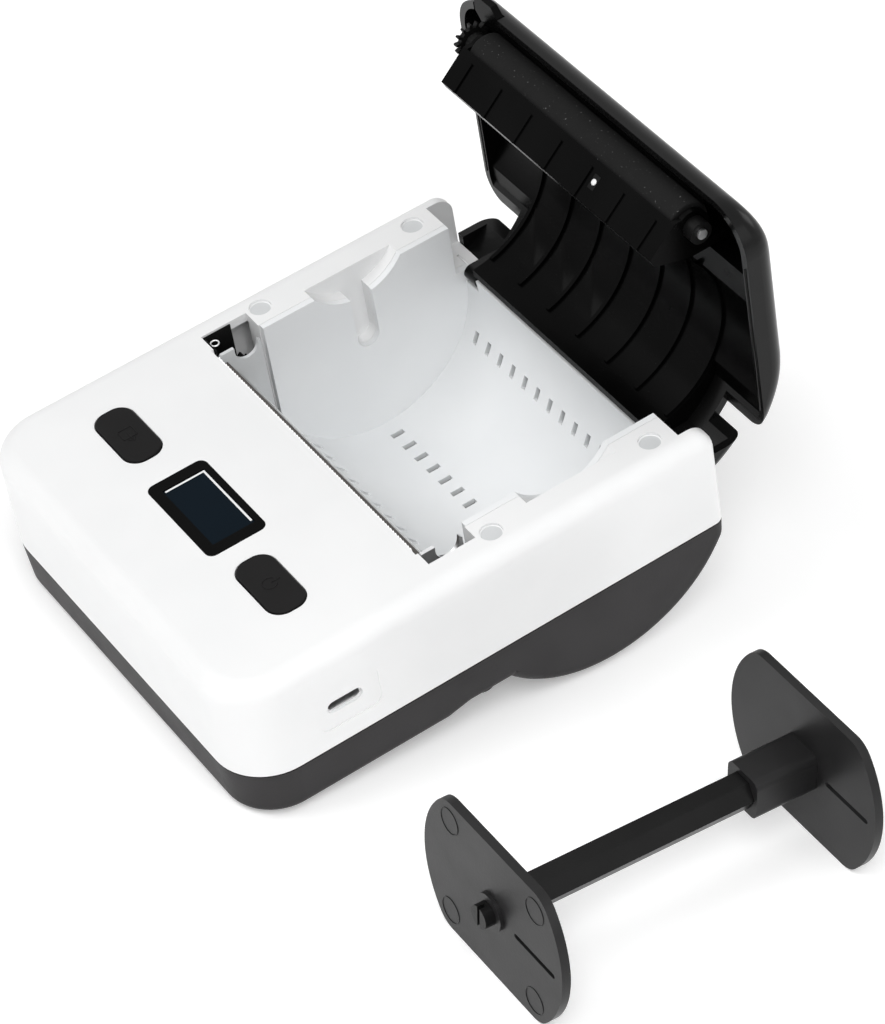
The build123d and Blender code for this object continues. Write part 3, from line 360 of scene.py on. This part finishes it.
def piece_from(name, vertices, faces, finish, body, slot, smooth=True):
    """A mesh object with its origin at the row's, that rides on the body and takes the finish."""
    mesh = bpy.data.meshes.new(name)
    mesh.from_pydata(vertices.tolist(), [], faces)
    mesh.polygons.foreach_set("use_smooth", [smooth] * len(faces))
    mesh.materials.append(finish.material)
    made = bpy.data.objects.new(name, mesh)
    bpy.context.collection.objects.link(made)
    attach(made, body)


def grid_faces(rows, columns, closed):
    """Quads of a grid whose columns close on themselves, and whose rows do too where closed."""
    strips = rows if closed else rows - 1
    i, j = np.meshgrid(np.arange(strips), np.arange(columns), indexing="ij")
    up, right = (i + 1) % rows, (j + 1) % columns
    quads = np.stack([i * columns + j, up * columns + j, up * columns + right, i * columns + right], -1)
    return quads.reshape(-1, 4).tolist()


def sweep(place, path, section, up, closed=False):
    """Vertices and faces of a section carried along a path.

    P(i, j) = path_i + s_j / cos(b_i / 2) (t_i x up) + u_j up, with t_i the mean direction at point i,
    b_i the bend there and (s_j, u_j) the section, counted anticlockwise as seen against t."""
    path, section, up = (np.asarray(part, float) for part in (path, section, up))
    after = np.roll(path, -1, axis=0) - path
    after /= np.linalg.norm(after, axis=1, keepdims=True)
    before = np.roll(after, 1, axis=0)
    if not closed:
        after[-1], before[0] = before[-1], after[0]
    along = after + before
    along /= np.linalg.norm(along, axis=1, keepdims=True)
    widen = 1 / np.einsum("ij,ij->i", along, after)
    side = np.cross(along, up) * widen[:, None]
    points = path[:, None] + section[None, :, :1] * side[:, None] + section[None, :, 1:] * up
    rows, columns = points.shape[:2]
    faces = grid_faces(rows, columns, closed)
    if not closed:
        faces += [list(range(columns)), list(range(rows * columns - 1, (rows - 1) * columns - 1, -1))]
    return place(points.reshape(-1, 3)), faces


def lathe(place, centre, axis, profile, sides=48):
    """Vertices and faces of a profile turned about an axis, with a pole at each end.

    P(i, j) = centre + r_i (cos q_j a + sin q_j b) + h_i axis, with a, b square to the axis."""
    centre, axis, profile = (np.asarray(part, float) for part in (centre, axis, profile))
    first = np.cross(axis, [0.0, 1.0, 0.0] if abs(axis[1]) < 0.9 else [1.0, 0.0, 0.0])
    first /= np.linalg.norm(first)
    second = np.cross(axis, first)
    turn = np.arange(sides) * 2 * np.pi / sides
    ring = np.cos(turn)[:, None] * first + np.sin(turn)[:, None] * second
    points = centre + profile[:, None, :1] * ring[None] + profile[:, None, 1:] * axis
    rows = len(profile)
    faces = [face[::-1] for face in grid_faces(rows, sides, False)]
    poles = np.array([centre + profile[0, 1] * axis, centre + profile[-1, 1] * axis])
    low = np.full(sides, rows * sides)
    here, last = np.arange(sides), (rows - 1) * sides
    beside = (here + 1) % sides
    faces += np.column_stack([low, beside, here]).tolist()
    faces += np.column_stack([low + 1, last + here, last + beside]).tolist()
    return place(np.vstack([points.reshape(-1, 3), poles])), faces


def bead(radius, sides=12):
    """Round section: (radius cos q, radius sin q)."""
    turn = np.arange(sides) * 2 * np.pi / sides
    return np.column_stack([np.cos(turn), np.sin(turn)]) * radius


def bar(width, height):
    """Flat section: a rectangle about its middle."""
    return np.array([[-1, -1], [1, -1], [1, 1], [-1, 1]]) * [width / 2, height / 2]


def arc(centre, radius, start, end, count):
    """Points at (x + r cos q, y + r sin q, z) for q from start to end, in degrees."""
    turn = np.radians(np.linspace(start, end, count))
    flat = np.column_stack([np.cos(turn), np.sin(turn), np.zeros(count)])
    return np.asarray(centre, float) + radius * flat


def outline(left, right, front, rear, z, corner):
    """Closed rounded rectangle at height z, anticlockwise: four arcs of seven points each."""
    x0, x1, y0, y1 = left + corner, right - corner, front + corner, rear - corner
    middles = [(x1, y1, z), (x0, y1, z), (x0, y0, z), (x1, y0, z)]
    return np.vstack([arc(middle, corner, 90 * k, 90 * k + 90, 7) for k, middle in enumerate(middles)])


# ---------------------------------------------------------------- marks on the keys
UP = (0, 0, 1)
BUTTON_TOP, MARK_RADIUS = 27.4, 0.13


def key_mark(name, path, body, closed=False):
    """A raised line of the mark on a key, half sunk in its top."""
    line = sweep(on_printer, path, bead(MARK_RADIUS), UP, closed)
    piece_from(name, *line, button_black, body, "button_black")


# A page with its feed arrow
PAGE_LEFT, PAGE_RIGHT, PAGE_FRONT, PAGE_REAR, PAGE_CORNER = -33.9, -30.6, 25.4, 29.0, 0.4
ARROW_START, ARROW_END, ARROW_Y = -32.2, -29.2, 27.2
BARB_BACK, BARB_NOSE, BARB_HALF = 1.0, 0.1, 0.9
page = outline(PAGE_LEFT, PAGE_RIGHT, PAGE_FRONT, PAGE_REAR, BUTTON_TOP, PAGE_CORNER)
shaft = [(ARROW_START, ARROW_Y, BUTTON_TOP), (ARROW_END, ARROW_Y, BUTTON_TOP)]
barb_tip, barb_back = ARROW_END + BARB_NOSE, ARROW_END - BARB_BACK
barb = [
    (barb_back, ARROW_Y + BARB_HALF, BUTTON_TOP),
    (barb_tip, ARROW_Y, BUTTON_TOP),
    (barb_back, ARROW_Y - BARB_HALF, BUTTON_TOP),
]
# A ring that is open to the rear by POWER_GAP degrees, and the bar that stands in its opening
POWER_X, POWER_Y, POWER_RADIUS, POWER_GAP = 29.8, 27.0, 1.7, 70
BAR_START, BAR_END = 27.5, 29.6
open_from, open_to = 90 + POWER_GAP / 2, 450 - POWER_GAP / 2
ring = arc((POWER_X, POWER_Y, BUTTON_TOP), POWER_RADIUS, open_from, open_to, 33)
stroke = [(POWER_X, BAR_START, BUTTON_TOP), (POWER_X, BAR_END, BUTTON_TOP)]
key_mark("feed_mark_page", page, "feed_button", True)
key_mark("feed_mark_shaft", shaft, "feed_button")
key_mark("feed_mark_barb", barb, "feed_button")
key_mark("power_mark_ring", ring, "power_button")
key_mark("power_mark_bar", stroke, "power_button")

# ---------------------------------------------------------------- display, latch recess and dimples
# Pale edge of the display that shows along two sides of the window
EDGE_LEFT, EDGE_RIGHT, EDGE_FRONT, EDGE_REAR, EDGE_Z = -10.55, 10.0, 24.2, 34.4, 26.74
EDGE_WIDTH, EDGE_THICK = 0.5, 0.06
edge_path = [
    (EDGE_LEFT, EDGE_FRONT, EDGE_Z),
    (EDGE_LEFT, EDGE_REAR, EDGE_Z),
    (EDGE_RIGHT, EDGE_REAR, EDGE_Z),
]
display_edge = sweep(on_printer, edge_path, bar(EDGE_WIDTH, EDGE_THICK), UP)
piece_from("display_edge", *display_edge, dot_white, "printer", "display", False)

# A thin black sheet on two walls of the latch recess at the left of the throat, which is painted shade, and
# the wire loop in the recess
RECESS_MOUTH, RECESS_WALL, RECESS_FRONT, RECESS_REAR = -43.0, -48.75, 57.5, 64.7
SHADE_THICK, SHADE_HEIGHT, SHADE_Z = 0.3, 9.6, 21.6
LOOP_PLACE, LOOP_RADIUS, LOOP_WIRE = (-46.3, 58.9, 25.6), 1.0, 0.22
recess_shade_path = [
    (RECESS_MOUTH, RECESS_FRONT, SHADE_Z),
    (RECESS_WALL, RECESS_FRONT, SHADE_Z),
    (RECESS_WALL, RECESS_REAR, SHADE_Z),
]
recess_shade = sweep(on_printer, recess_shade_path, bar(SHADE_THICK, SHADE_HEIGHT), UP)
piece_from("recess_painted_shade", *recess_shade, inner_black, "printer", "black_inner", False)
loop = sweep(on_printer, arc(LOOP_PLACE, LOOP_RADIUS, 0, 345, 24), bead(LOOP_WIRE), UP, True)
piece_from("recess_loop", *loop, steel, "printer", "bright_steel")

# Grey discs on the floors of the four dimples in the ledges: painted shade in the white hollows
DIMPLE_X, DIMPLE_ROWS, DIMPLE_FLOOR = 48.4, (72.95, 115.6), 26.12
SPOT_RADIUS, SPOT_BELLY, SPOT_THICK = 2.35, 2.45, 0.12
dimple_shade_profile = [(SPOT_RADIUS, 0), (SPOT_BELLY, SPOT_THICK / 2), (SPOT_RADIUS, SPOT_THICK)]
for side, side_name in ((-1, "left"), (1, "right")):
    for row, y in enumerate(DIMPLE_ROWS):
        dimple_shade = lathe(on_printer, (side * DIMPLE_X, y, DIMPLE_FLOOR), UP, dimple_shade_profile)
        piece_from(f"dimple_painted_shade_{side_name}_{row}", *dimple_shade, plate_grey, "printer", "white_case", False)

# ---------------------------------------------------------------- roll holder and cover
# Round ejector marks on the near flange, which look to the front
AWAY = (0, -1, 0)
RING_X, RING_Z, RING_RADIUS, RING_SIDES, RING_BEAD = 15.8, 13.2, 3.2, 40, 0.16
around = np.arange(RING_SIDES) * 2 * np.pi / RING_SIDES
circle = np.column_stack([np.cos(around), np.zeros(RING_SIDES), -np.sin(around)]) * RING_RADIUS
for index, (x_side, z_side) in enumerate([(-1, 1), (1, 1), (-1, -1), (1, -1)]):
    ring_path = circle + [x_side * RING_X, 0, z_side * RING_Z]
    mark = sweep(on_table, ring_path, bead(RING_BEAD, 8), AWAY, True)
    piece_from(f"flange_ring_{index}", *mark, holder_black, "roll_holder", "holder_plastic")

# White dot of the paper sensor: a low dome, in radius and height from its back to its crown, that looks
# out of the holder's slanted face
DOT_PLACE, DOT_OUT = (15.0, 64.10, 15.93), (0, -0.7526, -0.6585)
dot_profile = [(0.75, -0.1), (0.75, 0.1), (0.55, 0.22), (0.2, 0.28)]
dot = lathe(on_cover, DOT_PLACE, DOT_OUT, dot_profile, 24)
piece_from("sensor_dot", *dot, dot_white, "lid", "black_inner")

# Bevelled collar of the near flange, round the root of the rod
COLLAR_BORE, COLLAR_RADIUS, COLLAR_BACK, COLLAR_FACE = 4.6, 5.4, 2.0, 4.6
BEVEL_ACROSS, BEVEL_DEEP = 0.5, 0.4
collar_profile = [
    (COLLAR_BORE, COLLAR_BACK),
    (COLLAR_RADIUS, COLLAR_BACK),
    (COLLAR_RADIUS, COLLAR_FACE - BEVEL_DEEP),
    (COLLAR_RADIUS - BEVEL_ACROSS, COLLAR_FACE),
    (COLLAR_BORE, COLLAR_FACE),
]
collar = lathe(on_table, (0, 0, 0), (0, 1, 0), collar_profile)
piece_from("flange_collar", *collar, holder_black, "roll_holder", "holder_plastic")

# Rib bead along the inside of the cover's rim
RIM_X, RIM_Z, RIM_FRONT, RIM_REAR, RIM_BEAD = 54.9, 27.2, 70.0, 112.0, 0.3
left_rim = [(-RIM_X, RIM_REAR, RIM_Z), (-RIM_X, RIM_FRONT, RIM_Z)]
right_rim = [(RIM_X, RIM_FRONT, RIM_Z), (RIM_X, RIM_REAR, RIM_Z)]
for rim_name, rim_path in (("rim_bead_left", left_rim), ("rim_bead_right", right_rim)):
    rim = sweep(on_cover, rim_path, bead(RIM_BEAD), UP)
    piece_from(rim_name, *rim, cover_black, "lid", "black_cover")

# ---------------------------------------------------------------- camera
CAMERA_PLACE = Vector((0.601330, -0.394331, 0.664415))
CAMERA_AIM = Vector((-0.017341, 0.000043, 0.040))
CAMERA_ROLL = math.radians(-1.091)
FOCAL_LENGTH, FILM_WIDTH = 151.875, 36.0
lens = bpy.data.cameras.new("camera")
lens.lens = FOCAL_LENGTH
lens.sensor_width = FILM_WIDTH
camera = bpy.data.objects.new("camera", lens)
level_view = (CAMERA_AIM - CAMERA_PLACE).to_track_quat("-Z", "Y").to_matrix().to_4x4()
rolled_view = level_view @ Matrix.Rotation(CAMERA_ROLL, 4, "Z")
camera.matrix_world = Matrix.Translation(CAMERA_PLACE) @ rolled_view
bpy.context.collection.objects.link(camera)
bpy.context.scene.camera = camera


# ---------------------------------------------------------------- floor and light
def lamp(name, place, aim, size, power):
    """Soft square lamp that faces its aim."""
    light = bpy.data.lights.new(name, "AREA")
    light.shape = "SQUARE"
    light.size = size
    light.energy = power
    made = bpy.data.objects.new(name, light)
    made.location = place
    made.rotation_euler = (Vector(aim) - Vector(place)).to_track_quat("-Z", "Y").to_euler()
    bpy.context.collection.objects.link(made)


CASE_MIDDLE, COVER_MIDDLE = (0, 0, 0.03), (0, 0, 0.06)
lamp("key", place=(-0.5, -0.9, 1.3), aim=CASE_MIDDLE, size=0.9, power=8.0)
lamp("camera_fill", place=(0.55, -0.30, 0.95), aim=CASE_MIDDLE, size=0.5, power=5.0)
lamp("right_fill", place=(1.2, 0.2, 0.7), aim=CASE_MIDDLE, size=0.8, power=2.2)
lamp("rear_rim", place=(0.2, 1.2, 0.8), aim=COVER_MIDDLE, size=0.6, power=3.2)

REACH, FLOOR_GLOW = 6.0, 0.28
floor_corners = [(-REACH, -REACH, 0), (REACH, -REACH, 0), (REACH, REACH, 0), (-REACH, REACH, 0)]
floor_mesh = bpy.data.meshes.new("floor")
floor_mesh.from_pydata(floor_corners, [], [(0, 1, 2, 3)])
floor = bpy.data.objects.new("floor", floor_mesh)
bpy.context.collection.objects.link(floor)
paper = Finish("floor_white", Specular_IOR_Level=0.1, Roughness=0.9, Emission_Strength=FLOOR_GLOW)
paper.set(Base_Color=paper.mix(paper.noise(scale=3), grey(0.90), grey(0.92)), Emission_Color=grey(1.0))
floor_mesh.materials.append(paper.material)

# The room is full white where the camera sees it, also in metal and through glass, and lights less
ROOM_LIGHT = 0.42
world = bpy.data.worlds.new("world")
world.use_nodes = True
bpy.context.scene.world = world
room = Graph(world.node_tree)
camera_ray, glossy_ray, glass_ray = (
    room.node("ShaderNodeLightPath", {}, {}, output)
    for output in ("Is Camera Ray", "Is Glossy Ray", "Is Transmission Ray")
)
sky = room.tree.nodes["Background"]
sky.inputs["Color"].default_value = grey(1.0)
room.feed(sky.inputs["Strength"], ROOM_LIGHT + (1 - ROOM_LIGHT) * (camera_ray | glossy_ray | glass_ray))

bpy.context.scene.view_settings.view_transform = "Standard"
